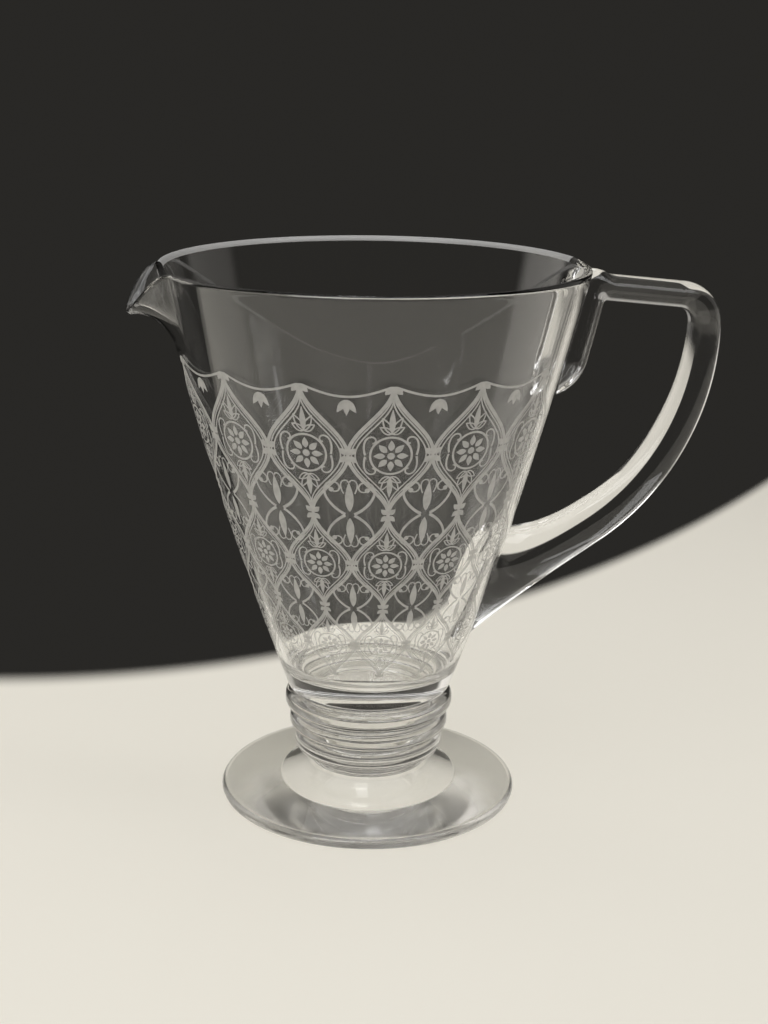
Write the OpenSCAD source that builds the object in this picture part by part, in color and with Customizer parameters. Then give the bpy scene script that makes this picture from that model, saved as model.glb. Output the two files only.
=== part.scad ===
// Footed glass water pitcher: a conical bowl with a drawn pouring lip, a stem of
// three stacked rings on a collar, a domed foot and an applied rod handle.
// The bowl's axis is Z and the foot stands on Z = 0. The handle points along +X,
// the lip along -X. All lengths are in millimetres.

/* [Bowl] */
// Height of the bowl from its base to the rim
bowl_h = 181; // [140:1:220]
// Outer diameter at the rim
rim_d = 175.4; // [150:0.2:200]
// Outer diameter at the base, before the corner is rounded
bowl_base_d = 68; // [60:0.5:80]
// How far the wall bows out from a straight cone
wall_bow = 2.9; // [0:0.1:8]
// Wall thickness
wall_t = 3.2; // [2.4:0.1:5]
// Thickness of the floor
floor_t = 10; // [6:0.5:16]
// Outer corner radius at the base
base_corner_r = 4; // [2:0.5:6]
// Inner corner radius at the floor
floor_corner_r = 10; // [4:0.5:16]

/* [Pouring lip] */
// How far the lip's tip reaches out past the rim
lip_reach = 11; // [6:0.5:18]
// How far the lip's tip is drawn down below the rim
lip_drop = 17.5; // [6:0.5:20]
// Height of wall that is drawn into the lip
lip_depth = 31; // [24:1:45]
// Half of the angle of rim that is drawn into the lip
lip_half_angle = 12; // [10:1:24]

/* [Stem] */
// Outer diameter of the upper ring
upper_ring_d = 71.6; // [62:0.2:80]
// Outer diameter of the middle ring
middle_ring_d = 67.8; // [58:0.2:76]
// Outer diameter of the lower ring
lower_ring_d = 63.2; // [54:0.2:72]
// Height of each ring
ring_h = 9.5; // [7:0.1:12]
// Radius of the rings' rounded edges
ring_edge_r = 4.2; // [2:0.1:5.5]
// Outer diameter of the collar under the rings
collar_d = 51.6; // [40:0.2:56]
// Height of the collar
collar_h = 4.5; // [3:0.1:8]
// Radius of the collar's rounded edge
collar_edge_r = 2; // [1:0.1:3]

/* [Foot] */
// Outer diameter of the foot
foot_d = 126.8; // [110:0.2:150]
// Height of the foot under the collar
foot_h = 14; // [10:0.5:20]
// Thickness of the rounded rim of the foot
foot_edge_t = 4.4; // [3:0.1:7]
// Diameter inside the flat ring that the foot stands on
foot_rest_d = 72; // [60:1:100]
// Depth of the hollow under the foot
foot_hollow = 5.5; // [2:0.1:7]
// Hollowness of the foot's upper curve, 1 for a straight cone
foot_curve = 1.05; // [1:0.05:2]

/* [Handle] */
// How far the arm's axis lies below the rim
arm_drop = 12.5; // [11:0.5:24]
// Fall of the arm away from the bowl, in degrees
arm_slope = 6.5; // [0:0.5:12]
// Distance from the bowl's axis to the grip's axis
grip_reach = 147.5; // [135:0.5:175]
// Axis radius of the bend from arm to grip
bend_r = 13; // [10:0.5:22]
// Axis radius of the grip's curve
grip_r = 98; // [80:0.5:110]
// Angle that the grip curves through, in degrees
grip_sweep = 60; // [50:1:66]
// Thickness of the arm
arm_t = 11.2; // [8:0.1:14]
// Thickness at the top of the grip
grip_t = 13.5; // [10:0.1:17]
// Thickness at the foot of the grip
heel_t = 20.8; // [13:0.1:22]
// Width of the rod, across the handle's plane
rod_w = 16.5; // [12:0.5:22]
// Height of the lower joint's centre above the bowl's base
joint_up = 42.5; // [36:0.5:60]
// Length of the lower joint along the wall
joint_l = 52; // [36:1:60]
// Width of the lower joint
joint_w = 31; // [20:1:36]
// Length of the tail under the fold
tail_l = 40.5; // [20:0.5:55]
// How far the tail stands off the wall
tail_t = 16; // [11:0.5:18]
// Axis radius of the fold from tail to arm
fold_r = 7; // [7:0.5:12]

/* [Hidden] */

glass = [0.86, 0.90, 0.90, 0.55];
glass_deep = [0.78, 0.84, 0.84, 0.6];

// Heights of the stack, from the table up
collar_z = foot_h;
lower_ring_z = collar_z + collar_h;
middle_ring_z = lower_ring_z + ring_h;
upper_ring_z = middle_ring_z + ring_h;
base_z = upper_ring_z + ring_h;
rim_z = base_z + bowl_h;

// Numbers of steps in the bowl's mesh
wall_turns = 56;
lip_turns = 20;
corner_steps = 4;
wall_steps = 9;
lip_steps = 8;
rim_steps = 12;
floor_steps = 6;
foot_steps = 18;

// Numbers of sides of the turned pieces and of their rounded edges
turn_sides = 96;
edge_sides = 48;

// Numbers of steps in the handle's mesh
rod_sides = 24;
tail_steps = 6;
tip_steps = 5;
fold_steps = 7;
arm_steps = 3;
bend_steps = 7;
grip_steps = 28;
flare_steps = 9;
pad_steps = 4;

// How quickly the lip leaves the wall, outward and downward
lip_out_power = 1.25;
lip_down_power = 2;
// Room between the handle and the wall that it is fused to
seat_gap = 0.05;
// Length of the tail's rounded tip
tip_l = 16;
// Part of the flare's length that follows the rod's own direction
flare_lead = 0.64;
// Step used to find the slope of a curve
slope_step = 0.01;
// Passes that settle where a rounded corner meets the wall
corner_passes = 6;

function mix(a, b, t) = a + (b - a) * t;
function turn(v) = [-v[1], v[0]];
function heading(a) = [cos(a), sin(a)];

// Outer radius of the bowl at a height
function bowl_u(z) = (z - base_z) / bowl_h;
function bowl_r(z) =
    mix(bowl_base_d, rim_d, bowl_u(z)) / 2 + 4 * wall_bow * bowl_u(z) * (1 - bowl_u(z));

// Share of the lip's pull at an angle and at a height
function lip_off(angle) = abs(angle - 180) / lip_half_angle;
function lip_share(angle) = lip_off(angle) < 1 ? cos(90 * lip_off(angle)) : 0;
function lip_rise(z) = max(0, (z - rim_z + lip_depth) / lip_depth);

// Outer wall in the upright plane at an angle: [radius, height]
function wall(angle, z) = [
    bowl_r(z) + lip_reach * lip_share(angle) * pow(lip_rise(z), lip_out_power),
    z - lip_drop * pow(lip_share(angle) * lip_rise(z), lip_down_power)
];
function wall_way(angle, z) =
    let (d = wall(angle, z + slope_step) - wall(angle, z - slope_step)) d / norm(d);
function wall_in(angle, z, depth) = wall(angle, z) + depth * turn(wall_way(angle, z));

// Height on the outer wall whose corner of radius r, depth inside the wall, ends on a floor
function corner_z(floor_z, r, depth, z, passes) =
    passes < 1 ? z : corner_z(floor_z, r, depth,
        floor_z + r - (depth + r) * turn(wall_way(0, z))[1], passes - 1);
base_turn_z = corner_z(base_z, base_corner_r, 0, base_z, corner_passes);
floor_turn_z = corner_z(base_z + floor_t, floor_corner_r, wall_t, base_z + floor_t, corner_passes);

// Points of a rounded corner at a stated depth in the wall, from the wall to the floor
function corner_points(z, r, depth, steps) =
    let (
        c = wall_in(0, z, depth + r),
        out = -turn(wall_way(0, z)),
        lean = atan2(out[1], out[0])
    )
    [for (k = [0 : steps]) c + r * heading(mix(lean, -90, k / steps))];

function reversed(list) = [for (k = [len(list) - 1 : -1 : 0]) list[k]];

// Heights along the wall: plain wall first, then the lip
function wall_heights(from, top) = concat(
    [for (k = [1 : wall_steps]) mix(from, rim_z - lip_depth, k / wall_steps)],
    [for (k = [1 : lip_steps]) mix(rim_z - lip_depth, top, k / lip_steps)]);

// Closed outline of the bowl in the upright plane at an angle, from base to floor
function bowl_outline(angle) =
    let (
        top = rim_z - wall_t / 2,
        way = wall_way(angle, top),
        rim_c = wall_in(angle, top, wall_t / 2)
    )
    concat(
        reversed(corner_points(base_turn_z, base_corner_r, 0, corner_steps)),
        [for (z = wall_heights(base_turn_z, top)) wall(angle, z)],
        [for (k = [1 : rim_steps])
            rim_c + wall_t / 2 * (sin(180 * k / rim_steps) * way - cos(180 * k / rim_steps) * turn(way))],
        [for (z = reversed(concat([floor_turn_z], wall_heights(floor_turn_z, top))))
            if (z < top) wall_in(angle, z, wall_t)],
        [for (k = [1 : floor_steps])
            corner_points(floor_turn_z, floor_corner_r, wall_t, floor_steps)[k]]);

// Angles round the bowl, closer together across the lip
bowl_angles = concat(
    [for (k = [0 : wall_turns - 1])
        mix(lip_half_angle - 180, 180 - lip_half_angle, k / wall_turns)],
    [for (k = [0 : lip_turns - 1])
        mix(180 - lip_half_angle, 180 + lip_half_angle, k / lip_turns)]);

// Triangles of a skin through rings of equal length, closed by a point at each end
function skin_faces(rings, n, start, end) = concat(
    [for (i = [0 : n - 1]) [start, i, (i + 1) % n]],
    [for (k = [0 : rings - 2], i = [0 : n - 1])
        let (j = (i + 1) % n) each [
            [k * n + i, (k + 1) * n + i, (k + 1) * n + j],
            [k * n + i, (k + 1) * n + j, k * n + j]]],
    [for (i = [0 : n - 1]) [end, (rings - 1) * n + (i + 1) % n, (rings - 1) * n + i]]);

module skin(rings, start_point, end_point) {
    n = len(rings[0]);
    points = concat([for (r = rings) each r], [start_point, end_point]);
    faces = skin_faces(len(rings), n, len(points) - 2, len(points) - 1);
    polyhedron(points, faces);
}

// Handle's axis in its own plane, [distance from the bowl's axis, height]
tail_off = tail_t - arm_t / 2;
function tail_axis(z) = [bowl_r(z) + tail_off, z];
tail_lean = atan2(bowl_r(rim_z - arm_drop) - bowl_r(rim_z - arm_drop - tail_l), tail_l);
tail_top_z = rim_z - arm_drop - fold_r * (cos(arm_slope) - sin(tail_lean));
tail_end_z = tail_top_z - tail_l;
tail_way = 90 - tail_lean;
fold_c = tail_axis(tail_top_z) + fold_r * heading(tail_way - 90);
arm_start = fold_c + fold_r * heading(90 - arm_slope);
bend_start_x = grip_reach - bend_r * (1 - sin(arm_slope));
arm_end = [bend_start_x, arm_start[1] - (bend_start_x - arm_start[0]) * tan(arm_slope)];
bend_c = arm_end - bend_r * heading(90 - arm_slope);
grip_c = [grip_reach - grip_r, bend_c[1]];
heel_way = -90 - grip_sweep;

// Stations of the rod: [axis point, direction, outer half, finger half, half width]
function station(p, way, outer, finger, width) = [p, way, outer, finger, width];

tip_stations = [for (k = [1 : tip_steps])
    let (u = k / tip_steps, z = tail_end_z + tip_l * (1 - cos(90 * u)), s = sin(90 * u))
    station(tail_axis(z) - [tail_off * (1 - s), 0], tail_way,
        tail_t * s, arm_t / 2 * s, rod_w / 2 * s)];
tail_stations = [for (k = [1 : tail_steps])
    let (z = mix(tail_end_z + tip_l, tail_top_z, k / tail_steps))
    station(tail_axis(z), tail_way, tail_t, arm_t / 2, rod_w / 2)];
fold_stations = [for (k = [1 : fold_steps])
    let (u = k / fold_steps, way = mix(tail_way, -arm_slope, u))
    station(fold_c + fold_r * heading(way + 90), way,
        mix(tail_t, arm_t / 2, u), arm_t / 2, rod_w / 2)];
arm_stations = [for (k = [1 : arm_steps])
    station(mix(arm_start, arm_end, k / arm_steps), -arm_slope, arm_t / 2, arm_t / 2, rod_w / 2)];
bend_stations = [for (k = [1 : bend_steps])
    let (u = k / bend_steps, way = mix(-arm_slope, -90, u), half = mix(arm_t, grip_t, u) / 2)
    station(bend_c + bend_r * heading(way + 90), way, half, half, rod_w / 2)];
grip_stations = [for (k = [1 : grip_steps])
    let (u = k / grip_steps, way = mix(-90, heel_way, u), half = mix(grip_t, heel_t, u) / 2)
    station(grip_c + grip_r * heading(way + 90), way, half, half, rod_w / 2)];

// Pushes a point that lies inside the bowl out to its wall
function seated(p) =
    let (r = norm([p[0], p[1]]), least = bowl_r(p[2]) + seat_gap)
    p[2] < rim_z && r < least ? [p[0] * least / r, p[1] * least / r, p[2]] : p;

// Ring of points round a station
function rod_ring(s) = [for (i = [0 : rod_sides - 1])
    let (
        a = 360 * i / rod_sides,
        reach = cos(a) > 0 ? s[2] : s[3],
        p = s[0] + reach * cos(a) * turn(heading(s[1]))
    )
    seated([p[0], s[4] * sin(a), p[1]])];

// Ring of points on the bowl's wall at the lower joint, at a share of the joint's size
joint_z = base_z + joint_up;
function joint_ring(share) = [for (i = [0 : rod_sides - 1])
    let (
        a = 360 * i / rod_sides,
        z = joint_z - share * joint_l / 2 * cos(a) * cos(tail_lean),
        r = bowl_r(z) + seat_gap,
        across = asin(share * joint_w / 2 * sin(a) / r)
    )
    [r * cos(across), r * sin(across), z]];

// Rings that flare from the foot of the grip to the joint
heel_ring = rod_ring(grip_stations[grip_steps - 1]);
heel_dir = [heading(heel_way)[0], 0, heading(heel_way)[1]];
function flare_point(a, b, u) =
    let (m = a + flare_lead * norm(b - a) * heel_dir)
    mix(mix(a, m, u), mix(m, b, u), u);
flare_rings = [for (k = [1 : flare_steps])
    [for (i = [0 : rod_sides - 1]) flare_point(heel_ring[i], joint_ring(1)[i], k / flare_steps)]];
pad_rings = [for (k = [1 : pad_steps - 1]) joint_ring(1 - k / pad_steps)];

// Point of an upright outline, turned to an angle round the axis
function turned(p, angle) = [p[0] * cos(angle), p[0] * sin(angle), p[1]];

module bowl() {
    outlines = [for (a = bowl_angles) bowl_outline(a)];
    rings = [for (k = [0 : len(outlines[0]) - 1])
        [for (i = [0 : len(bowl_angles) - 1]) turned(outlines[i][k], bowl_angles[i])]];
    color(glass) skin(rings, [0, 0, base_z], [0, 0, base_z + floor_t]);
}

// Disc with a rounded edge
module ring(d, h, edge_r) {
    rotate_extrude($fn = turn_sides) intersection() {
        square([d / 2, h]);
        union() {
            square([d / 2 - edge_r, h]);
            translate([d / 2 - edge_r, edge_r]) circle(edge_r, $fn = edge_sides);
            translate([d / 2 - edge_r, h - edge_r]) circle(edge_r, $fn = edge_sides);
            translate([0, edge_r]) square([d / 2, h - 2 * edge_r]);
        }
    }
}

module upper_ring() {
    color(glass_deep) translate([0, 0, upper_ring_z]) ring(upper_ring_d, ring_h, ring_edge_r);
}

module middle_ring() {
    color(glass_deep) translate([0, 0, middle_ring_z]) ring(middle_ring_d, ring_h, ring_edge_r);
}

module lower_ring() {
    color(glass_deep) translate([0, 0, lower_ring_z]) ring(lower_ring_d, ring_h, ring_edge_r);
}

module foot_collar() {
    color(glass_deep) translate([0, 0, collar_z]) ring(collar_d, collar_h, collar_edge_r);
}

module foot() {
    edge_r = foot_edge_t / 2;
    edge_x = foot_d / 2 - edge_r;
    rest_r = foot_rest_d / 2;
    outline = concat(
        [for (k = [0 : foot_steps])
            let (u = k / foot_steps) [rest_r * u, foot_hollow * (1 - u * u)]],
        [for (k = [0 : foot_steps])
            [edge_x, edge_r] + edge_r * heading(mix(-90, 90, k / foot_steps))],
        [for (k = [1 : foot_steps])
            let (u = k / foot_steps)
            [mix(edge_x, collar_d / 2, u), mix(foot_edge_t, foot_h, pow(u, foot_curve))]],
        [[0, foot_h]]);
    color(glass) rotate_extrude($fn = turn_sides) polygon(outline);
}

module handle() {
    stations = concat(
        tip_stations, tail_stations, fold_stations, arm_stations, bend_stations, grip_stations);
    rings = concat([for (s = stations) rod_ring(s)], flare_rings, pad_rings);
    tip = [bowl_r(tail_end_z) + seat_gap, 0, tail_end_z];
    joint_centre = [bowl_r(joint_z) + seat_gap, 0, joint_z];
    color(glass) skin(rings, tip, joint_centre);
}

bowl();
upper_ring();
middle_ring();
lower_ring();
foot_collar();
foot();
handle();
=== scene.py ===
"""Looks of a footed glass water pitcher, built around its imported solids. All lengths are in metres."""
import math

import bpy
import numpy as np
from mathutils import Matrix, Vector


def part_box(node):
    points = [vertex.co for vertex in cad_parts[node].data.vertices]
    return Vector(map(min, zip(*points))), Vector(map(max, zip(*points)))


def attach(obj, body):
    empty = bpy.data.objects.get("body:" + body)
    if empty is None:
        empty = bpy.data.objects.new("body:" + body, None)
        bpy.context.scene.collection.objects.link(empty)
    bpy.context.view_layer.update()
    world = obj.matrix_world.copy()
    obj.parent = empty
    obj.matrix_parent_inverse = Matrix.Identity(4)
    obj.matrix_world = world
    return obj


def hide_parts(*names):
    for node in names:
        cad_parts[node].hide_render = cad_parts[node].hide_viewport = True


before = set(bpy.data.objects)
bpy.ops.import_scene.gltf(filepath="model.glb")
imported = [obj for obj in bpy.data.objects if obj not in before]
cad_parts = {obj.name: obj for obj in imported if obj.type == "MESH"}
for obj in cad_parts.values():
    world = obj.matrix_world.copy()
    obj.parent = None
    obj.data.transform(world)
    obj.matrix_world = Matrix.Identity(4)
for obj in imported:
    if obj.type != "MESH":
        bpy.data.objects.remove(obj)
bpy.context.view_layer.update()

# Sizes of the bowl, as in the solids, but for the rim's deeper inner roll
BASE_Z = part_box("bowl")[0].z
BOWL_H = 0.181
RIM_Z = BASE_Z + BOWL_H
BASE_R = 0.034
RIM_R = 0.0877
WALL_BOW = 0.0029
WALL_T = 0.0032
FLOOR_T = 0.010
BASE_CORNER_R = 0.004
FLOOR_CORNER_R = 0.010
RIM_ROLL = 0.0024
LIP_REACH = 0.011
LIP_DROP = 0.0175
LIP_DEPTH = 0.031
LIP_HALF_ANGLE = math.radians(12)
LIP_OUT_POWER = 1.25
LIP_DOWN_POWER = 2

# Rounded edges of the stem and sizes of the foot
RING_EDGE_R = 0.0042
COLLAR_EDGE_R = 0.002
FOOT_EDGE_T = 0.0044
FOOT_REST_R = 0.036
FOOT_HOLLOW = 0.0055
FOOT_CURVE = 1.05
EDGE_SOFT = 0.0004

# Sizes of the handle
ARM_DROP = 0.0125
ARM_SLOPE = math.radians(6.5)
GRIP_REACH = 0.1475
BEND_R = 0.013
GRIP_R = 0.098
GRIP_SWEEP = math.radians(60)
ARM_T = 0.0112
GRIP_T = 0.0135
HEEL_T = 0.0208
ROD_W = 0.0165
JOINT_UP = 0.0425
JOINT_L = 0.052
JOINT_W = 0.031
TAIL_L = 0.0405
TAIL_T = 0.016
FOLD_R = 0.007
TIP_L = 0.016
FLARE_LEAD = 0.64
SEAT_GAP = 0.00005

# Fineness of the meshes
SLOPE_STEP = 0.00001
CORNER_PASSES = 8
LEVEL_SLACK = 0.000004
SHARP_EDGE = math.radians(38)
ARC_STEPS = 14
TURNS = 224
HOLLOW_STEPS = 30
DOME_STEPS = 40
HANDLE_SIDE = math.radians(22)
HANDLE_COLUMNS = 84
SIDE_COLUMNS = 92
LIP_COLUMNS = 48
WALL_ROWS = 180
INNER_ROWS = 76
SNAP_SHARE = 0.55
WALL_SIDES = 14
FREE_SIDES = 58
CONTACT_TRIES = 400
TIP_STEPS = 12
TAIL_STEPS = 16
FOLD_STEPS = 24
ARM_STEPS = 14
BEND_STEPS = 20
GRIP_STEPS = 48
EASE_STEPS = 24
FLARE_STEPS = 28
PAD_STEPS = 8

# Etched panel, on the side between the lip and the handle
BAND_LOW = 0.066
BAND_HIGH = 0.1945
BAND_LIFT = 0.00004
LAYER_LIFT = 0.000004
LAYERS = 5
CLIMB_POINTS = 2000
LEAST_LENGTH = 1e-9
PANEL_START = math.radians(-189)
FRAME_WIDE = math.radians(25.5)
FRAME_COLUMNS = 6
FRAME_ROWS = 3
FRAME_POINTS = 61
INNER_FRAMES = (0.92, 0.83)

# Motifs of the panel, sized in radians round the axis
BOLD, PLAIN, FINE = 0.019, 0.012, 0.008
LEAF_POINTS = 11
LEAF_BELLY = 0.8
PETAL_W = 0.034
BLOSSOM_EYE = 0.008
BLOSSOM_PETAL = 0.052
ROSETTE_RING, RING_POINTS = 0.108, 40
ROSETTE_EYE, EYE_POINTS = 0.02, 16
ROSETTE_ROOT = 0.03
ROSETTE_PETAL = 0.062
FAN_ROOT = 0.128
FAN_SPREAD = 0.52
FAN_LEAF_W = 0.032
FAN_LENGTHS = {-2: 0.07, -1: 0.1, 0: 0.135, 1: 0.1, 2: 0.07}
SPRAY_ROOT = 0.02
SPRAY_LEAF, SPRAY_LEAF_W = 0.2, 0.05
SPRAY_DOT, DOT_POINTS = 0.015, 12
FESTOON_POINTS = 33
FESTOON_SAG = 0.055
FESTOON_DROP = 0.07
FESTOON_SPREAD = 0.6
FESTOON_LEAF = 0.085
SCROLL_POINTS = 46
SCROLL_STRAIGHT = 0.3
SCROLL_BEND = 0.35
SCROLL_WIND = 5.2
SCROLL_POWER = 1.3
ROSETTE_CURL = {"out": 0.132, "rise": 0, "lean": 0.35, "length": 0.19, "curl_r": 0.05}
SPRAY_CURL = {"out": 0.018, "rise": 0, "lean": 1.15, "length": 0.42, "curl_r": 0.085}
SPRAY_VEIN = {"out": 0.03, "rise": 0.14, "lean": 0.5, "length": 0.13, "curl_r": 0.05}

# Glass: tints, swells a metre and their depth, and ranges of roughness
CLEAR_TINT = (0.985, 0.985, 0.98)
HANDLE_TINT = (0.98, 0.98, 0.974)
STEM_TINT = (0.82, 0.815, 0.795)
# Darker tint of the ring that the foot stands on: a painted shade
GROUND_RING_SHADE_TINT = (0.58, 0.575, 0.55)
SHADOW_TINT = (0.975, 0.975, 0.97)
GLASS_IOR = 1.5
BOWL_SWELLS = 30
FOOT_SWELLS = 40
STEM_SWELLS = 45
SWELL_DETAIL = 1
SWELL_DEPTH = 0.00004
STEM_SWELL_DEPTH = 0.00003
SMEAR_NOISE = (55, 6)
POLISHED = (0.0, 0.012)
GROUND_SMEAR = (0.12, 0.15)
# The rim's far half is frosted pale as a painted highlight, standing in for the light the rim catches: its
# roughness and clearness
RIM_HIGHLIGHT_ROUGHNESS = (0.3, 0.4)
RIM_HIGHLIGHT_CLEARNESS = 0.7
NOISE_LOW, NOISE_HIGH = 0.3, 0.7

# Etched lines: colour, roughness, and their uneven cover
ETCHED_GREY = (0.56, 0.55, 0.53)
ETCHED_ROUGHNESS = 0.7
ETCHED_NOISE = (400, 4)
ETCHED_COVER = (0.68, 0.86)

# Viewpoint and stage
VIEW_TURN = math.radians(-16)
FLOOR_PALE = (0.82, 0.79, 0.712)
FLOOR_SIDES = 128
FLOOR_GAP = 0.0002
FLOOR_BACK = (0.1, 0.125)
FLOOR_CURVE_START, FLOOR_CURVE = -0.2, 1.7
FLOOR_ROUND = (0.75, 1.0)
SURROUND = (0.022, 0.021, 0.019)
AMBIENT = (1, 0.98, 0.95)
AMBIENT_LEVEL = 0.35
PANEL_COLOUR = (1, 0.96, 0.9)
PANEL_FADE = (1, 0.62)
LIGHT_AIM = (0, 0, 0.1)


# Plain helpers

def mix(a, b, t):
    return a + (b - a) * t


def shares(count):
    """Even shares from just above 0 up to 1."""
    return np.linspace(0, 1, count + 1)[1:]


def heading(angle):
    return np.stack([np.cos(angle), np.sin(angle)], -1)


def turn(v):
    return np.stack([-v[..., 1], v[..., 0]], -1)


def around(section, angle):
    """Points of an upright section, radius and height, turned to an angle round the axis."""
    radius, height = section[..., 0], section[..., 1]
    return np.stack([radius * np.cos(angle), radius * np.sin(angle), height + 0 * angle], -1)


# Shape of the bowl's wall

def bowl_radius(z):
    u = (z - BASE_Z) / BOWL_H
    return mix(BASE_R, RIM_R, u) + 4 * WALL_BOW * u * (1 - u)


def wall(angle, z):
    """Outer wall at an angle: radius and height, with the pouring lip drawn out and down."""
    off = np.abs(angle - math.pi) / LIP_HALF_ANGLE
    share = np.cos(math.pi / 2 * np.minimum(off, 1))
    rise = np.maximum(0, (z - RIM_Z + LIP_DEPTH) / LIP_DEPTH)
    radius = bowl_radius(z) + LIP_REACH * share * rise ** LIP_OUT_POWER
    return np.stack([radius, z - LIP_DROP * (share * rise) ** LIP_DOWN_POWER], -1)


def wall_way(angle, z):
    d = wall(angle, z + SLOPE_STEP) - wall(angle, z - SLOPE_STEP)
    return d / np.linalg.norm(d, axis=-1, keepdims=True)


def wall_in(angle, z, depth):
    return wall(angle, z) + depth * turn(wall_way(angle, z))


def corner(floor_z, r, depth):
    """Rounded corner at a depth in the wall: where it leaves the wall, and its points down to the floor."""
    plain = np.float64(0)
    z = np.float64(floor_z)
    for _ in range(CORNER_PASSES):
        z = floor_z + r - (depth + r) * turn(wall_way(plain, z))[1]
    centre = wall_in(plain, z, depth + r)
    out = -turn(wall_way(plain, z))
    angles = np.linspace(math.atan2(out[1], out[0]), -math.pi / 2, ARC_STEPS + 1)
    return z, centre + r * heading(angles)


# Meshes, and the slots of their materials

# Slot 2 is frosted glass that paints light: a painted highlight on the far half of the rim, and a painted
# shade on the ring that the foot stands on
GLASS, SEAM, PAINTED_LIGHT = 0, 1, 2


def add_piece(name, points, faces, slots, materials, slot_name, *nodes):
    """A smooth mesh that rides the object's one body and stands for the CAD nodes that are named."""
    mesh = bpy.data.meshes.new(name)
    mesh.from_pydata([tuple(p) for p in points], [], faces)
    mesh.polygons.foreach_set("material_index", np.asarray(slots, np.int32))
    mesh.polygons.foreach_set("use_smooth", np.ones(len(faces), bool))
    mesh.set_sharp_from_angle(angle=SHARP_EDGE)
    for material in materials:
        mesh.materials.append(material)
    mesh.update()
    piece = bpy.data.objects.new(name, mesh)
    bpy.context.scene.collection.objects.link(piece)
    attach(piece, "root")
    if nodes:
        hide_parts(*nodes)


def skin(rings, start, end, seam_start, seam_end):
    """Quads through rings of equal length, closed by a point at each end, with their material slots."""
    n = len(rings[0])
    last = (len(rings) - 1) * n
    points = np.concatenate([np.concatenate(rings), [start, end]])
    first_point, end_point = len(points) - 2, len(points) - 1
    faces = [(first_point, (i + 1) % n, i) for i in range(n)]
    slots = [seam_start] * n
    for k in range(len(rings) - 1):
        for i in range(n):
            j = (i + 1) % n
            faces.append((k * n + i, k * n + j, (k + 1) * n + j, (k + 1) * n + i))
            slots.append(GLASS)
    faces += [(end_point, last + i, last + (i + 1) % n) for i in range(n)]
    slots += [seam_end] * n
    return points, faces, slots


def lathe(profile, start_z, end_z, seam_start, seam_end):
    """A turned solid from its profile, radius and height from below to above, closed on the axis."""
    angles = np.linspace(0, 2 * math.pi, TURNS, endpoint=False)
    rings = [around(np.broadcast_to(p, (TURNS, 2)), angles) for p in profile]
    return skin(rings, (0, 0, start_z), (0, 0, end_z), seam_start, seam_end)


# Outlines where the handle is fused to the wall, as distance across and height

def nearest_on(outline, points):
    """The nearest point of a closed outline to each point, and its distance."""
    d = np.roll(outline, -1, 0) - outline
    t = ((points[:, None] - outline) * d).sum(-1) / (d * d).sum(-1)
    near = outline + np.clip(t, 0, 1)[..., None] * d
    distance = np.linalg.norm(points[:, None] - near, axis=-1)
    k = distance.argmin(1)
    rows = np.arange(len(points))
    return near[rows, k], distance[rows, k]


def is_inside(outline, points):
    """Even-odd test of points against a closed outline."""
    a, b = outline, np.roll(outline, -1, 0)
    x, y = points[:, None, 0], points[:, None, 1]
    spans = (a[:, 1] > y) != (b[:, 1] > y)
    rise = np.where(b[:, 1] == a[:, 1], 1, b[:, 1] - a[:, 1])
    cross = a[:, 0] + (y - a[:, 1]) / rise * (b[:, 0] - a[:, 0])
    return (spans & (x < cross)).sum(1) % 2 == 1


# Handle

TAIL_OFF = TAIL_T - ARM_T / 2
HANDLE_SIDES = WALL_SIDES + FREE_SIDES
EVEN_SPREAD = math.pi * WALL_SIDES / HANDLE_SIDES
LEAST_SPREAD = math.radians(6)


class Station:
    """One cross-section of the handle's rod, in the handle's own plane of distance out and height."""

    def __init__(self, point, way, wall_half, finger_half, half_width):
        self.point = np.asarray(point, float)
        self.way = way
        self.wall_half = wall_half
        self.finger_half = finger_half
        self.half_width = half_width
        self.spread = self.contact()
        self.fused = self.spread > LEAST_SPREAD

    def at(self, angle):
        """Points round the section, where angle 0 faces the wall on the tail and outward on the grip."""
        reach = np.where(np.cos(angle) > 0, self.wall_half, self.finger_half) * np.cos(angle)
        flat = self.point + reach[..., None] * turn(heading(self.way))
        return np.stack([flat[..., 0], self.half_width * np.sin(angle), flat[..., 1]], -1)

    def depth(self, angle):
        p = self.at(np.asarray(angle, float))
        return np.hypot(p[..., 0], p[..., 1]) - bowl_radius(p[..., 2]) - SEAT_GAP

    def contact(self):
        """Half of the angle of the section that lies in the bowl's wall, or 0."""
        if self.at(np.float64(0))[2] > RIM_Z or self.depth(0) >= 0:
            return 0.0
        angles = np.linspace(0, math.pi / 2, CONTACT_TRIES)
        return float(angles[np.argmax(self.depth(angles) >= 0)])

    def ring(self):
        """The section's points, those that meet the wall first, pushed out onto the wall."""
        facing = np.linspace(-self.spread, self.spread, WALL_SIDES + 1)
        free = np.linspace(self.spread, 2 * math.pi - self.spread, FREE_SIDES + 1)[1:-1]
        p = self.at(np.concatenate([facing, free]))
        radius = np.hypot(p[:, 0], p[:, 1])
        least = bowl_radius(p[:, 2]) + SEAT_GAP
        push = np.where((radius < least) & (p[:, 2] < RIM_Z), least / radius, 1)
        p[:, :2] *= push[:, None]
        return p


def tail_axis(z):
    return np.array([bowl_radius(z) + TAIL_OFF, z])


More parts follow.
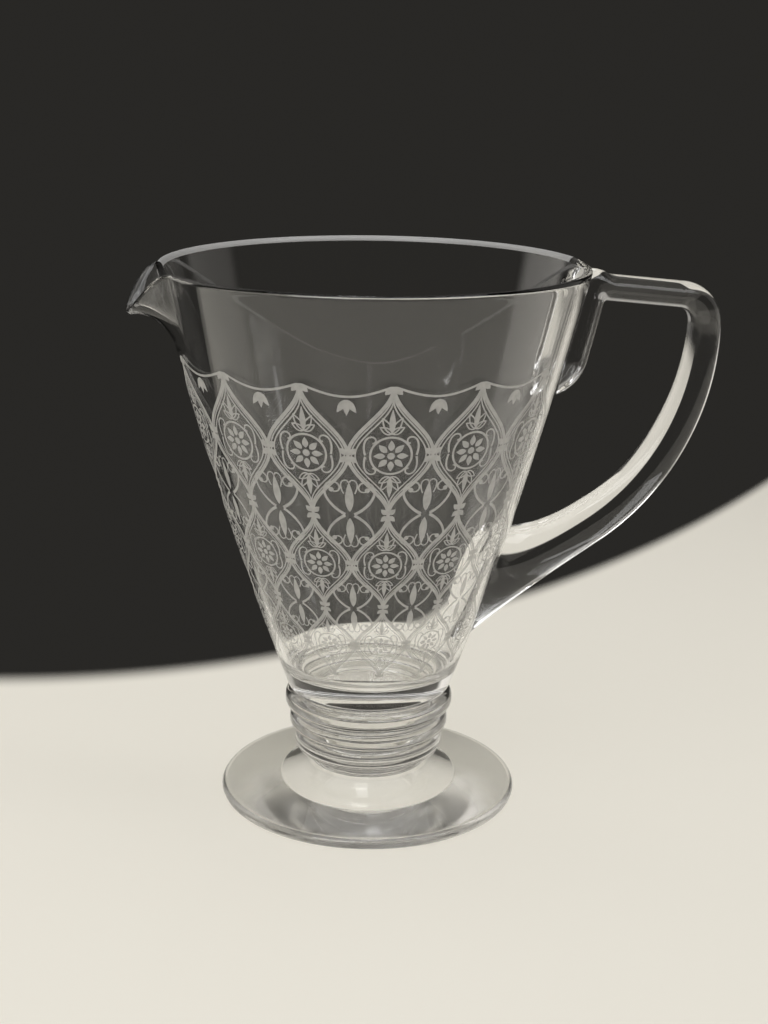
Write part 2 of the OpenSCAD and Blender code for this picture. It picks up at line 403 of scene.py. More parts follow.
def handle_stations():
    """The rod from the tail's tip, over the fold, along the arm and down the grip to its heel."""
    top = RIM_Z - ARM_DROP
    lean = math.atan2(bowl_radius(top) - bowl_radius(top - TAIL_L), TAIL_L)
    tail_top = top - FOLD_R * (math.cos(ARM_SLOPE) - math.sin(lean))
    tail_end = tail_top - TAIL_L
    tail_way = math.pi / 2 - lean
    fold_c = tail_axis(tail_top) + FOLD_R * heading(tail_way - math.pi / 2)
    arm_start = fold_c + FOLD_R * heading(math.pi / 2 - ARM_SLOPE)
    bend_x = GRIP_REACH - BEND_R * (1 - math.sin(ARM_SLOPE))
    arm_end = np.array([bend_x, arm_start[1] - (bend_x - arm_start[0]) * math.tan(ARM_SLOPE)])
    bend_c = arm_end - BEND_R * heading(math.pi / 2 - ARM_SLOPE)
    grip_c = np.array([GRIP_REACH - GRIP_R, bend_c[1]])
    arm_half, half_w = ARM_T / 2, ROD_W / 2
    stations = []
    for u in shares(TIP_STEPS):
        s = math.sin(math.pi / 2 * u)
        z = tail_end + TIP_L * (1 - math.cos(math.pi / 2 * u))
        point = tail_axis(z) - [TAIL_OFF * (1 - s), 0]
        stations.append(Station(point, tail_way, TAIL_T * s, arm_half * s, half_w * s))
    for u in shares(TAIL_STEPS):
        z = mix(tail_end + TIP_L, tail_top, u)
        stations.append(Station(tail_axis(z), tail_way, TAIL_T, arm_half, half_w))
    for u in shares(FOLD_STEPS):
        way = mix(tail_way, -ARM_SLOPE, u)
        point = fold_c + FOLD_R * heading(way + math.pi / 2)
        stations.append(Station(point, way, mix(TAIL_T, arm_half, u), arm_half, half_w))
    for u in shares(ARM_STEPS):
        stations.append(Station(mix(arm_start, arm_end, u), -ARM_SLOPE, arm_half, arm_half, half_w))
    for u in shares(BEND_STEPS):
        way = mix(-ARM_SLOPE, -math.pi / 2, u)
        half = mix(ARM_T, GRIP_T, u) / 2
        point = bend_c + BEND_R * heading(way + math.pi / 2)
        stations.append(Station(point, way, half, half, half_w))
    for u in shares(GRIP_STEPS):
        way = -math.pi / 2 - GRIP_SWEEP * u
        half = mix(GRIP_T, HEEL_T, u) / 2
        point = grip_c + GRIP_R * heading(way + math.pi / 2)
        stations.append(Station(point, way, half, half, half_w))
    last_fused = max(k for k, s in enumerate(stations) if s.fused)
    for k, s in enumerate(stations[last_fused + 1:]):
        s.spread = mix(LEAST_SPREAD, EVEN_SPREAD, min(1, k / EASE_STEPS))
    tip = np.array([bowl_radius(tail_end) + SEAT_GAP, 0, tail_end])
    return stations, last_fused, tip, lean


def joint_ring(share, lean):
    """Points on the wall round the lower joint, at a share of the joint's size."""
    facing = np.linspace(-EVEN_SPREAD, EVEN_SPREAD, WALL_SIDES + 1)
    free = np.linspace(EVEN_SPREAD, 2 * math.pi - EVEN_SPREAD, FREE_SIDES + 1)[1:-1]
    angle = np.concatenate([facing, free])
    z = BASE_Z + JOINT_UP - share * JOINT_L / 2 * np.cos(angle) * math.cos(lean)
    r = bowl_radius(z) + SEAT_GAP
    across = np.arcsin(share * JOINT_W / 2 * np.sin(angle) / r)
    return around(np.stack([r, z], -1), across)


def handle_mesh():
    """The handle's points, faces and slots, and the two outlines where it is fused to the wall."""
    stations, last_fused, tip, lean = handle_stations()
    rings = [s.ring() for s in stations]
    heel, joint = rings[-1], joint_ring(1, lean)
    heel_way = -math.pi / 2 - GRIP_SWEEP
    ahead = np.array([math.cos(heel_way), 0, math.sin(heel_way)])
    middle = heel + FLARE_LEAD * np.linalg.norm(joint - heel, axis=1)[:, None] * ahead
    for u in shares(FLARE_STEPS):
        rings.append(mix(mix(heel, middle, u), mix(middle, joint, u), u))
    first_pad = len(rings)
    rings += [joint_ring(share, lean) for share in 1 - shares(PAD_STEPS)[:-1]]
    joint_z = BASE_Z + JOINT_UP
    centre = (bowl_radius(joint_z) + SEAT_GAP, 0, joint_z)
    points, faces, slots = skin(rings, tip, centre, GLASS, SEAM)
    faces = [f[::-1] for f in faces]
    n = HANDLE_SIDES
    for i in range(WALL_SIDES):
        slots[i] = SEAM
        for k in range(last_fused):
            slots[n * (k + 1) + i] = SEAM
    for f in range(n * first_pad, len(faces)):
        slots[f] = SEAM
    tail_rings = rings[:last_fused + 1]
    left = [r[WALL_SIDES] for r in tail_rings]
    right = [r[0] for r in tail_rings]
    tail = np.array([tip] + left + right[::-1])
    return points, faces, slots, [tail[:, 1:], joint[:, 1:]]


# Bowl

def bowl_columns():
    """Angles round the bowl, close together behind the handle and across the lip."""
    lip_side = math.pi - LIP_HALF_ANGLE
    side = np.linspace(HANDLE_SIDE, lip_side, SIDE_COLUMNS, endpoint=False)
    lip = np.linspace(lip_side, 2 * math.pi - lip_side, LIP_COLUMNS, endpoint=False)
    fine = np.linspace(-HANDLE_SIDE, HANDLE_SIDE, HANDLE_COLUMNS, endpoint=False)
    return np.concatenate([fine, side, lip, 2 * math.pi - side[::-1]])


def bowl_mesh(outlines):
    """The bowl's points, faces and slots, with its wall open to the handle inside the outlines."""
    base_turn, base_arc = corner(BASE_Z, BASE_CORNER_R, 0)
    floor_turn, floor_arc = corner(BASE_Z + FLOOR_T, FLOOR_CORNER_R, WALL_T)
    top = RIM_Z - WALL_T / 2
    columns = bowl_columns()
    n = len(columns)
    wall_z = np.linspace(base_turn, top, WALL_ROWS + 1)
    angle, z = np.meshgrid(columns, wall_z[1:])
    side = np.ones(angle.shape, int)
    reach = SNAP_SHARE * (wall_z[1] - wall_z[0])
    for outline in outlines:
        flat = np.stack([bowl_radius(z) * np.sin(angle), z], -1)
        low, high = outline.min(0) - reach, outline.max(0) + reach
        near = (np.cos(angle) > 0) & (flat > low).all(-1) & (flat < high).all(-1)
        spot, distance = nearest_on(outline, flat[near])
        state = np.where(is_inside(outline, flat[near]), -1, 1)
        moved = distance < reach
        state[moved] = 0
        side[near] = np.where(state < side[near], state, side[near])
        place = np.where(moved[:, None], spot, flat[near])
        z[near] = place[:, 1]
        angle[near] = np.arcsin(place[:, 0] / bowl_radius(place[:, 1]))
    rows = [around(np.broadcast_to(p, (n, 2)), columns) for p in base_arc[::-1]]
    first_wall = len(rows)
    rows += [around(wall(a, h), a) for a, h in zip(angle, z)]
    last_wall = len(rows) - 1
    way, rim_c = wall_way(columns, top), wall_in(columns, top, WALL_T / 2)
    for t in math.pi / 2 * shares(ARC_STEPS):
        rows.append(around(rim_c + WALL_T / 2 * (math.sin(t) * way - math.cos(t) * turn(way)), columns))
    first_roll = len(rows) - 1
    roll_top = top + WALL_T / 2 * wall_way(np.float64(0), top)[1]
    for t in math.pi / 2 * shares(ARC_STEPS):
        h = roll_top - RIM_ROLL * (1 - math.cos(t))
        depth = WALL_T / 2 * (1 + math.sin(t))
        rows.append(around(wall_in(columns, np.full(n, h), depth), columns))
    last_roll = len(rows) - 1
    for h in np.linspace(roll_top - RIM_ROLL, floor_turn, INNER_ROWS + 1)[1:]:
        rows.append(around(wall_in(columns, np.full(n, h), WALL_T), columns))
    rows += [around(np.broadcast_to(p, (n, 2)), columns) for p in floor_arc[1:]]
    points, faces, slots = skin(rows, (0, 0, BASE_Z), (0, 0, BASE_Z + FLOOR_T), SEAM, GLASS)
    # The far half of the rim's inner roll gets the frosted slot, a painted highlight standing in for the
    # light the rim catches
    highlight_side = (columns > 0) & (columns < math.pi - LIP_HALF_ANGLE)
    for k in range(first_roll + 1, last_roll + 1):
        slots[n * k:n * (k + 1)] = np.where(highlight_side, PAINTED_LIGHT, GLASS)
    return open_wall(points, faces, slots, side, first_wall, last_wall, n)


def open_wall(points, faces, slots, side, first_wall, last_wall, n):
    """Gives the wall's faces inside the outlines the seam, splitting those that an outline crosses."""
    new_faces, new_slots = [], []
    state = {}
    for k in range(first_wall, last_wall + 1):
        for i in range(n):
            state[k * n + i] = side[k - first_wall, i]
    for face, slot in zip(faces, slots):
        marks = [state.get(v, 1) for v in face]
        if min(marks) >= 0 and not all(m == 0 for m in marks):
            new_faces.append(face)
            new_slots.append(slot)
        elif max(marks) <= 0:
            new_faces.append(face)
            new_slots.append(SEAM)
        else:
            first = 1 if marks[1] == 0 and marks[3] == 0 else 0
            a, b, c, d = (face[(first + k) % 4] for k in range(4))
            for part in ((a, b, c), (a, c, d)):
                inner = min(state.get(v, 1) for v in part) < 0
                new_faces.append(part)
                new_slots.append(SEAM if inner else slot)
    return points, new_faces, new_slots


# Stem and foot

def disc_profile(low, high, radius, edge_r, low_seam, high_seam):
    """A rounded disc's profile, with rings of points where its neighbours' flats end."""
    arc = np.linspace(-math.pi / 2, math.pi / 2, 2 * ARC_STEPS + 1)
    below = arc[arc <= 0]
    above = arc[arc >= 0]
    flat = radius - edge_r
    profile = [(low_seam, low)]
    profile += [(flat + edge_r * math.cos(a), low + edge_r + edge_r * math.sin(a)) for a in below]
    profile += [(flat + edge_r * math.cos(a), high - edge_r + edge_r * math.sin(a)) for a in above]
    profile += [(high_seam, high)]
    return profile


def foot_profile(box, collar_r, seam_r):
    """The foot's profile, from the middle of the hollow below to its top under the collar."""
    low, high = box
    edge_r = FOOT_EDGE_T / 2
    edge_x = high.x - edge_r
    hollow = np.append(shares(HOLLOW_STEPS)[:-1], [1 - EDGE_SOFT / FOOT_REST_R, 1])
    profile = [(FOOT_REST_R * u, low.z + FOOT_HOLLOW * (1 - u * u)) for u in hollow]
    profile += [(FOOT_REST_R + EDGE_SOFT, low.z), (edge_x - EDGE_SOFT, low.z)]
    for a in np.linspace(-math.pi / 2, math.pi / 2, 2 * ARC_STEPS + 1):
        profile.append((edge_x + edge_r * math.cos(a), low.z + edge_r + edge_r * math.sin(a)))
    for u in shares(DOME_STEPS):
        profile.append((mix(edge_x, collar_r, u), mix(FOOT_EDGE_T, high.z, u ** FOOT_CURVE)))
    profile.append((seam_r, high.z))
    return profile


def foot_mesh(box, collar_r, seam_r):
    """The foot's points, faces and slots, with the flat ring that it stands on frosted by grinding and tinted
    darker, a painted shade.
    """
    low, high = box
    profile = foot_profile(box, collar_r, seam_r)
    points, faces, slots = lathe(profile, low.z + FOOT_HOLLOW, high.z, GLASS, SEAM)
    # The ring that the foot stands on gets the frosted, darker slot: a painted shade
    stands = [z - low.z < LEVEL_SLACK for _, z in profile]
    for k in range(len(profile) - 1):
        if stands[k] and stands[k + 1]:
            slots[TURNS * (k + 1):TURNS * (k + 2)] = [PAINTED_LIGHT] * TURNS
    return points, faces, slots


# Materials

def node_tree(name):
    """A new material's nodes and links, with its output node."""
    material = bpy.data.materials.new(name)
    material.use_nodes = True
    nodes, links = material.node_tree.nodes, material.node_tree.links
    nodes.clear()
    return material, nodes, links, nodes.new("ShaderNodeOutputMaterial")


def noise(nodes, links, scale, detail):
    """Noise over the object's own coordinates, at so many swells a metre."""
    place = nodes.new("ShaderNodeTexCoord")
    texture = nodes.new("ShaderNodeTexNoise")
    texture.inputs["Scale"].default_value = scale
    texture.inputs["Detail"].default_value = detail
    links.new(place.outputs["Object"], texture.inputs["Vector"])
    return texture.outputs["Fac"]


def ranged(nodes, links, value, low, high):
    """A noise value's middle range, spread from a low to a high value."""
    spread = nodes.new("ShaderNodeMapRange")
    spread.inputs["From Min"].default_value = NOISE_LOW
    spread.inputs["From Max"].default_value = NOISE_HIGH
    spread.inputs["To Min"].default_value = low
    spread.inputs["To Max"].default_value = high
    links.new(value, spread.inputs["Value"])
    return spread.outputs["Result"]


def arithmetic(nodes, links, operation, first, second):
    """The result of a sum on a socket and on a number or another socket."""
    node = nodes.new("ShaderNodeMath")
    node.operation = operation
    links.new(first, node.inputs[0])
    if isinstance(second, (int, float)):
        node.inputs[1].default_value = second
    else:
        links.new(second, node.inputs[1])
    return node.outputs[0]


def smooth(nodes, links, value, start, end):
    """A value's smooth step from 0 at the start to 1 at the end."""
    step = nodes.new("ShaderNodeMapRange")
    step.interpolation_type = "SMOOTHSTEP"
    step.inputs["From Min"].default_value = start
    step.inputs["From Max"].default_value = end
    links.new(value, step.inputs["Value"])
    return step.outputs["Result"]


def blended(nodes, links, share, first, second, output):
    """Gives an output the first shader where the share is 0 and the second where it is 1."""
    blend = nodes.new("ShaderNodeMixShader")
    links.new(share, blend.inputs[0])
    links.new(first.outputs[0], blend.inputs[1])
    links.new(second.outputs[0], blend.inputs[2])
    links.new(blend.outputs[0], output.inputs["Surface"])


def glass_material(name, tint, swells, depth=SWELL_DEPTH, smear=POLISHED, clearness=1.0):
    """Clear glass with slow swells in its surface and faint smears, which lets lamp light through."""
    material, nodes, links, output = node_tree(name)
    shader = nodes.new("ShaderNodeBsdfPrincipled")
    shader.inputs["Base Color"].default_value = (*tint, 1)
    shader.inputs["IOR"].default_value = GLASS_IOR
    shader.inputs["Transmission Weight"].default_value = clearness
    smears = noise(nodes, links, *SMEAR_NOISE)
    links.new(ranged(nodes, links, smears, *smear), shader.inputs["Roughness"])
    bump = nodes.new("ShaderNodeBump")
    bump.inputs["Distance"].default_value = depth
    links.new(noise(nodes, links, swells, SWELL_DETAIL), bump.inputs["Height"])
    links.new(bump.outputs["Normal"], shader.inputs["Normal"])
    clear = nodes.new("ShaderNodeBsdfTransparent")
    clear.inputs["Color"].default_value = (*SHADOW_TINT, 1)
    path = nodes.new("ShaderNodeLightPath").outputs
    either = arithmetic(nodes, links, "MAXIMUM", path["Is Shadow Ray"], path["Is Diffuse Ray"])
    blended(nodes, links, either, shader, clear, output)
    return material


def seam_material():
    """Fused faces inside the glass, which show nothing."""
    material, nodes, links, output = node_tree("fused_seam")
    clear = nodes.new("ShaderNodeBsdfTransparent")
    links.new(clear.outputs[0], output.inputs["Surface"])
    return material


def etched_material():
    """Frosted white of an etched line, a little uneven."""
    material, nodes, links, output = node_tree("etched_line")
    shader = nodes.new("ShaderNodeBsdfPrincipled")
    shader.inputs["Base Color"].default_value = (*ETCHED_GREY, 1)
    shader.inputs["Roughness"].default_value = ETCHED_ROUGHNESS
    grain = noise(nodes, links, *ETCHED_NOISE)
    links.new(ranged(nodes, links, grain, *ETCHED_COVER), shader.inputs["Alpha"])
    links.new(shader.outputs[0], output.inputs["Surface"])
    return material


def floor_material():
    """Pale floor that ends softly behind the object, where the plain surround shows."""
    material, nodes, links, output = node_tree("floor")
    place = nodes.new("ShaderNodeTexCoord")
    parts = nodes.new("ShaderNodeSeparateXYZ")
    links.new(place.outputs["Object"], parts.inputs[0])
    length = nodes.new("ShaderNodeVectorMath")
    length.operation = "LENGTH"
    links.new(place.outputs["Object"], length.inputs[0])
    side = arithmetic(nodes, links, "SUBTRACT", parts.outputs["X"], FLOOR_CURVE_START)
    side = arithmetic(nodes, links, "MAXIMUM", side, 0)
    curve = arithmetic(nodes, links, "MULTIPLY", side, side)
    curve = arithmetic(nodes, links, "MULTIPLY", curve, FLOOR_CURVE)
    back = arithmetic(nodes, links, "SUBTRACT", parts.outputs["Y"], curve)
    behind = smooth(nodes, links, back, *FLOOR_BACK)
    beyond = smooth(nodes, links, length.outputs["Value"], *FLOOR_ROUND)
    either = arithmetic(nodes, links, "MAXIMUM", behind, beyond)
    shader = nodes.new("ShaderNodeBsdfDiffuse")
    shader.inputs["Color"].default_value = (*FLOOR_PALE, 1)
    clear = nodes.new("ShaderNodeBsdfTransparent")
    blended(nodes, links, either, shader, clear, output)
    return material


def panel_material(name, strength):
    """Light of a soft panel, which falls off towards its edges."""
    material, nodes, links, output = node_tree(name)
    place = nodes.new("ShaderNodeTexCoord")
    parts = nodes.new("ShaderNodeSeparateXYZ")
    links.new(place.outputs["Object"], parts.inputs[0])
    fades = []
    for axis in "XY":
        size = nodes.new("ShaderNodeMath")
        size.operation = "ABSOLUTE"
        links.new(parts.outputs[axis], size.inputs[0])
        fades.append(smooth(nodes, links, size.outputs[0], *PANEL_FADE))
    level = arithmetic(nodes, links, "MULTIPLY", *fades)
    level = arithmetic(nodes, links, "MULTIPLY", level, strength)
    light = nodes.new("ShaderNodeEmission")
    light.inputs["Color"].default_value = (*PANEL_COLOUR, 1)
    links.new(level, light.inputs["Strength"])
    links.new(light.outputs[0], output.inputs["Surface"])
    return material


# Etched band

class Etching:
    """Thin shapes laid on the wall, drawn in turn and climb, in radians, which keep their shape there."""

    def __init__(self):
        z = np.linspace(BAND_LOW, BAND_HIGH, CLIMB_POINTS)
        r = bowl_radius(z)
        slant = np.hypot(np.gradient(z), np.gradient(r))
        self.heights = z
        self.climbs = np.concatenate([[0], np.cumsum(slant[1:] / r[1:])])
        self.top = self.climbs[-1]
        self.points, self.faces = [], []
        self.layer = 0

    def place(self, flat):
        """Points on the wall, a hair's breadth proud of it."""
        z = np.interp(flat[..., 1], self.climbs, self.heights)
        out = -turn(wall_way(np.zeros_like(z), z))
        lift = BAND_LIFT + LAYER_LIFT * (self.layer % LAYERS)
        section = np.stack([bowl_radius(z), z], -1) + lift * out
        return around(section, PANEL_START + flat[..., 0])

    def stroke(self, line, width, closed=False):
        """A ribbon along a line; width is one number or one for each point."""
        line = np.asarray(line, float)
        ahead = np.roll(line, -1, 0) - np.roll(line, 1, 0) if closed else np.gradient(line, axis=0)
        length = np.linalg.norm(ahead, axis=1, keepdims=True)
        across = turn(ahead / np.maximum(length, LEAST_LENGTH))
        half = np.broadcast_to(np.asarray(width, float), (len(line),))[:, None] / 2
        start = len(self.points)
        sides = np.stack([line + half * across, line - half * across], 1).reshape(-1, 2)
        sides[:, 1] = np.clip(sides[:, 1], 0, self.top)
        self.points += list(self.place(sides))
        n = len(line)
        for i in range(n if closed else n - 1):
            a, b = start + 2 * i, start + 2 * ((i + 1) % n)
            self.faces.append((a, a + 1, b + 1, b))
        self.layer += 1

    def blob(self, outline):
        """A filled shape, drawn as a fan round its middle."""
        outline = np.asarray(outline, float)
        start = len(self.points)
        self.points += list(self.place(np.concatenate([outline, [outline.mean(0)]])))
        n = len(outline)
        for i in range(n):
            self.faces.append((start + i, start + (i + 1) % n, start + n))
        self.layer += 1


def circle(centre, r, count):
    return np.asarray(centre) + r * heading(np.linspace(0, 2 * math.pi, count, endpoint=False))


def leaf(root, way, length, width):
    """A pointed leaf's closed outline from its root along a direction."""
    u = np.linspace(0, 1, LEAF_POINTS)
    half = width / 2 * np.sin(math.pi * u ** LEAF_BELLY)
    spine = np.asarray(root) + length * u[:, None] * heading(way)
    across = turn(heading(way))
    return np.concatenate([spine + half[:, None] * across, (spine - half[:, None] * across)[-2:0:-1]])


def scroll(root, way, hand, length, curl_r):
    """A line that sets out along a direction and winds into a spiral on one hand."""
    u = np.linspace(0, 1, SCROLL_POINTS)
    rate = SCROLL_BEND + SCROLL_WIND * np.maximum(0, u - SCROLL_STRAIGHT) ** SCROLL_POWER
    bend = hand * np.cumsum(rate) / SCROLL_POINTS * length / curl_r
    ahead = heading(way + bend) * length / SCROLL_POINTS
    return np.asarray(root) + np.cumsum(ahead, 0)


def side_scroll(centre, hand, up, out, rise, lean, length, curl_r):
    """A scroll beside a centre, up or down, which leans away from it and winds back in."""
    root = centre + [hand * out, up * rise]
    return scroll(root, up * math.pi / 2 - hand * up * lean, hand * up, length, curl_r)


def ogee_side(x, y, hand, tall, share=1):
    """One side of a tall pointed frame, or of a smaller one in it, from its lower tip to its upper one."""
    u = np.linspace(-1, 1, FRAME_POINTS)
    bulge = FRAME_WIDE / 4 * (1 + np.cos(math.pi * u))
    return np.stack([x + share * hand * bulge, y + share * tall / 2 * u], -1)


def etch(drawing):
    """A lattice of tall pointed frames with blossoms where they meet, and two fillings by turns."""
    tall = drawing.top / FRAME_ROWS
    for column in range(FRAME_COLUMNS):
        x = (column + 0.5) * FRAME_WIDE
        for row in range(FRAME_ROWS):
            y = (row + 0.5) * tall
            for hand in (1, -1):
                drawing.stroke(ogee_side(x, y, hand, tall), BOLD)
                for share in INNER_FRAMES:
                    drawing.stroke(ogee_side(x, y, hand, tall, share), FINE)
            rosette(drawing, x, y)
            if column:
                blossom(drawing, x - FRAME_WIDE / 2, y)
        for row in range(FRAME_ROWS + 1):
            blossom(drawing, x, row * tall)
        for row in range(1, FRAME_ROWS) if column else ():
            spray(drawing, x - FRAME_WIDE / 2, row * tall)
        if column:
            festoon(drawing, x - FRAME_WIDE, x, drawing.top)


def blossom(drawing, x, y):
    """Four filled petals round a clear eye."""
    for k in range(4):
        way = math.pi / 2 * (k + 0.5)
        root = np.array([x, y]) + BLOSSOM_EYE * heading(way)
        drawing.blob(leaf(root, way, BLOSSOM_PETAL, PETAL_W))


def rosette(drawing, x, y):
    """A ring of eight petals between two fans of leaves and two upright scrolls."""
    centre = np.array([x, y])
    drawing.stroke(circle(centre, ROSETTE_RING, RING_POINTS), PLAIN, closed=True)
    drawing.blob(circle(centre, ROSETTE_EYE, EYE_POINTS))
    for k in range(8):
        way = math.pi / 4 * k
        drawing.blob(leaf(centre + ROSETTE_ROOT * heading(way), way, ROSETTE_PETAL, PETAL_W))
    for up in (1, -1):
        root = centre + [0, up * FAN_ROOT]
        for k, length in FAN_LENGTHS.items():
            petal = leaf(root, up * math.pi / 2 + FAN_SPREAD * k, length, FAN_LEAF_W)
            if k:
                drawing.stroke(petal, FINE, closed=True)
            else:
                drawing.blob(petal)
    for hand in (1, -1):
        for up in (1, -1):
            curl = side_scroll(centre, hand, up, **ROSETTE_CURL)
            drawing.stroke(curl, np.linspace(PLAIN, FINE, len(curl)))


def spray(drawing, x, y):
    """Two pairs of scrolls back to back, with a tall filled leaf between each pair."""
    centre = np.array([x, y])
    for up in (1, -1):
        drawing.blob(leaf(centre + [0, up * SPRAY_ROOT], up * math.pi / 2, SPRAY_LEAF, SPRAY_LEAF_W))
        for hand in (1, -1):
            curl = side_scroll(centre, hand, up, **SPRAY_CURL)
            drawing.stroke(curl, np.linspace(BOLD, FINE, len(curl)))
            drawing.blob(circle(curl[-1], SPRAY_DOT, DOT_POINTS))
            drawing.stroke(side_scroll(centre, hand, up, **SPRAY_VEIN), FINE)


def festoon(drawing, left, right, top):
    """A ribbon that hangs between two upper tips, with three leaves under it."""
    u = np.linspace(0, 1, FESTOON_POINTS)
    sag = FESTOON_SAG * np.sin(math.pi * u)
    drawing.stroke(np.stack([mix(left, right, u), top - sag], -1), PLAIN)
    root = ((left + right) / 2, top - FESTOON_DROP)
    for k in (-1, 0, 1):
        drawing.blob(leaf(root, -math.pi / 2 + FESTOON_SPREAD * k, FESTOON_LEAF, PETAL_W))


# Lights and camera

def soft_light(name, place, size, watts):
    """A rectangular soft light that the camera doesn't see itself."""
    light = bpy.data.lights.new(name, "AREA")
    light.shape = "RECTANGLE"
    light.size, light.size_y = size
    light.energy = watts
    lamp = bpy.data.objects.new(name, light)
    lamp.location = place
    lamp.rotation_euler = (Vector(LIGHT_AIM) - Vector(place)).to_track_quat("-Z", "Y").to_euler()
    lamp.visible_camera = False
    bpy.context.scene.collection.objects.link(lamp)


def soft_panel(name, turned, distance, height, size, strength):
    """A glowing panel, so many degrees from straight behind, which the glass shows and the camera doesn't."""
    mesh = bpy.data.meshes.new(name)
    mesh.from_pydata([(-1, -1, 0), (1, -1, 0), (1, 1, 0), (-1, 1, 0)], [], [(0, 1, 2, 3)])
    mesh.materials.append(panel_material(name, strength))
    panel = bpy.data.objects.new(name, mesh)
    angle = math.pi / 2 + VIEW_TURN - math.radians(turned)
    panel.location = (distance * math.cos(angle), distance * math.sin(angle), height)
    towards = Vector((0, 0, RIM_Z / 2)) - panel.location
    panel.rotation_euler = towards.to_track_quat("Z", "Y").to_euler()
    panel.scale = (size[0] / 2, size[1] / 2, 1)
    panel.visible_camera = False
    panel.visible_shadow = False
    bpy.context.scene.collection.objects.link(panel)


def build_world():
    """Dark plain surround as seen, and even soft light as received."""
    world = bpy.data.worlds.new("studio")
    world.use_nodes = True
    nodes, links = world.node_tree.nodes, world.node_tree.links
    nodes.clear()
    seen = nodes.new("ShaderNodeBackground")
    seen.inputs["Color"].default_value = (*SURROUND, 1)
    ambient = nodes.new("ShaderNodeBackground")
    ambient.inputs["Color"].default_value = (*AMBIENT, 1)
    ambient.inputs["Strength"].default_value = AMBIENT_LEVEL
    path = nodes.new("ShaderNodeLightPath").outputs
    shows = arithmetic(nodes, links, "MAXIMUM", path["Is Camera Ray"], path["Is Glossy Ray"])
    shows = arithmetic(nodes, links, "MAXIMUM", shows, path["Is Transmission Ray"])
    blended(nodes, links, shows, ambient, seen, nodes.new("ShaderNodeOutputWorld"))
    bpy.context.scene.world = world


def build_camera():
    """The photograph's viewpoint: its turn about the axis, its tilt, its slight roll and its lens."""
    tilt = math.radians(16.378)
    roll = math.radians(0.819)
    place = Vector((0.00554, -0.6771, 0.3230))
    focal_px, image_h = 1686.4, 1024
    data = bpy.data.cameras.new("camera")
    data.sensor_fit = "VERTICAL"
    data.sensor_height = 36
    data.lens = data.sensor_height * focal_px / image_h
    camera = bpy.data.objects.new("camera", data)
    spin = Matrix.Rotation(VIEW_TURN, 4, "Z")
    look = Matrix.Rotation(math.pi / 2 - tilt, 4, "X") @ Matrix.Rotation(roll, 4, "Z")
    camera.matrix_world = spin @ Matrix.Translation(place) @ look
    bpy.context.scene.collection.objects.link(camera)
    bpy.context.scene.camera = camera


# Assembly

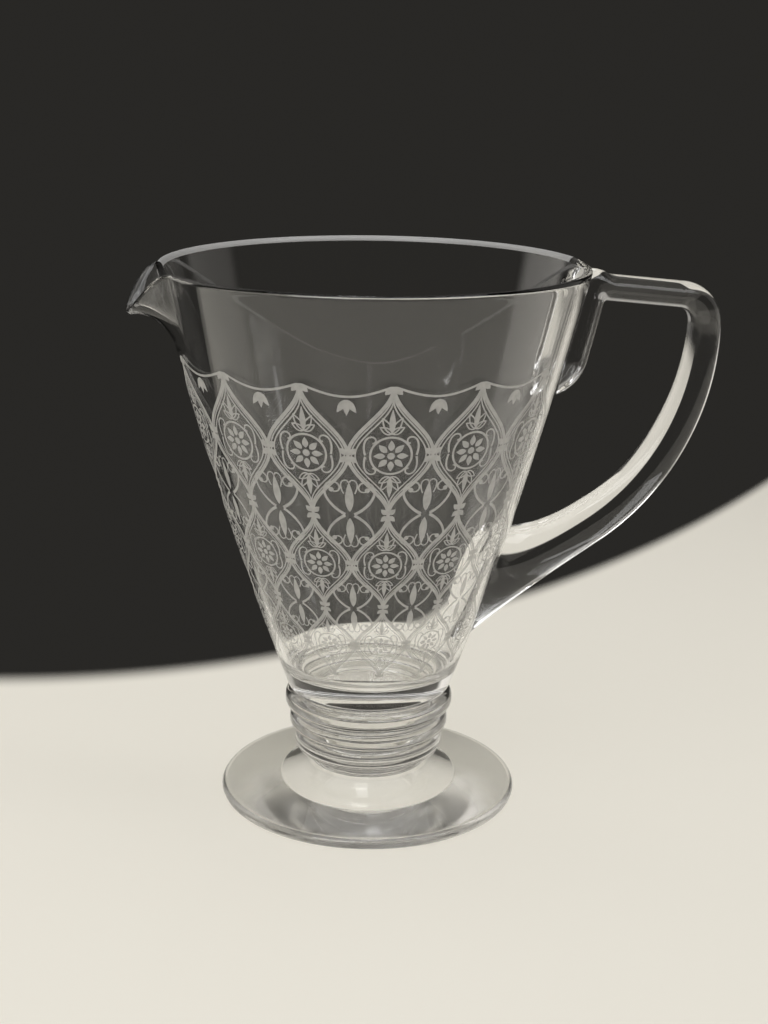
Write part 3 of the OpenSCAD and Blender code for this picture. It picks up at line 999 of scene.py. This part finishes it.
def build_glass():
    """Every piece of glass: the handle, the bowl, the stem and the foot."""
    seam = seam_material()
    # The rim's frosted far half is a painted highlight
    rim_highlight = glass_material("rim_painted_highlight", CLEAR_TINT, BOWL_SWELLS, smear=RIM_HIGHLIGHT_ROUGHNESS, clearness=RIM_HIGHLIGHT_CLEARNESS)
    bowl_glass = [glass_material("bowl_glass", CLEAR_TINT, BOWL_SWELLS), seam, rim_highlight]
    stem_glass = [glass_material("stem_glass", STEM_TINT, STEM_SWELLS, STEM_SWELL_DEPTH), seam]
    # The darker ground ring under the foot is a painted shade
    ground_and_shade = glass_material("ground_glass_painted_shade", GROUND_RING_SHADE_TINT, FOOT_SWELLS, smear=GROUND_SMEAR)
    foot_glass = [glass_material("foot_glass", CLEAR_TINT, FOOT_SWELLS), seam, ground_and_shade]
    handle_glass = [glass_material("handle_glass", HANDLE_TINT, BOWL_SWELLS), seam]
    points, faces, slots, outlines = handle_mesh()
    add_piece("handle_rod", points, faces, slots, handle_glass, "handle_glass", "handle")
    add_piece("bowl_body", *bowl_mesh(outlines), bowl_glass, "bowl_glass", "bowl")
    base_flat = corner(BASE_Z, BASE_CORNER_R, 0)[1][-1][0]
    stack = ["foot_collar", "lower_ring", "middle_ring", "upper_ring"]
    edges = {n: COLLAR_EDGE_R if n == "foot_collar" else RING_EDGE_R for n in stack}
    flats = [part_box(n)[1].x - edges[n] for n in stack]
    collar_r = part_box("foot_collar")[1].x
    seams = [min(a, b) for a, b in zip([collar_r] + flats, flats + [base_flat])]
    for k, name in enumerate(stack):
        low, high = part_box(name)
        profile = disc_profile(low.z, high.z, high.x, edges[name], seams[k], seams[k + 1])
        solid = lathe(profile, low.z, high.z, SEAM, SEAM)
        add_piece(name + "_disc", *solid, stem_glass, "stem_glass", name)
    solid = foot_mesh(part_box("foot"), collar_r, seams[0])
    add_piece("foot_disc", *solid, foot_glass, "foot_glass", "foot")


def build_etching():
    """The etched panel, as one thin piece on the bowl."""
    drawing = Etching()
    etch(drawing)
    slots = [0] * len(drawing.faces)
    add_piece("etched_band", drawing.points, drawing.faces, slots, [etched_material()], "bowl_glass")


def build_stage():
    """The floor, the surround and the lights."""
    bpy.ops.mesh.primitive_circle_add(vertices=FLOOR_SIDES, radius=FLOOR_ROUND[1], fill_type="NGON")
    floor = bpy.context.object
    floor.name = "floor"
    floor.location.z = -FLOOR_GAP
    floor.rotation_euler.z = VIEW_TURN
    floor.data.materials.append(floor_material())
    build_world()
    soft_panel("panel_left", turned=-60, distance=1.0, height=0.6, size=(0.95, 1.7), strength=0.9)
    soft_panel("panel_right", turned=66, distance=1.0, height=0.5, size=(0.9, 1.4), strength=0.35)
    soft_panel("panel_back", turned=0, distance=1.2, height=1.0, size=(1.8, 1.2), strength=0.3)
    soft_light("key", place=(-0.9, -0.9, 1.5), size=(1.0, 1.0), watts=9.5)
    soft_light("fill", place=(1.0, -0.8, 1.6), size=(0.7, 1.0), watts=5.3)
    soft_light("top", place=(0.0, -0.2, 1.7), size=(1.8, 1.6), watts=11.6)
    soft_light("lamp", place=(0.12, 0.6, 1.05), size=(0.1, 0.3), watts=0.28)


build_camera()
build_glass()
build_etching()
build_stage()

scene = bpy.context.scene
scene.view_settings.view_transform = "Standard"
scene.cycles.max_bounces = 24
scene.cycles.transmission_bounces = 24
scene.cycles.glossy_bounces = 8
scene.cycles.transparent_max_bounces = 32
scene.cycles.caustics_reflective = False
scene.cycles.caustics_refractive = False
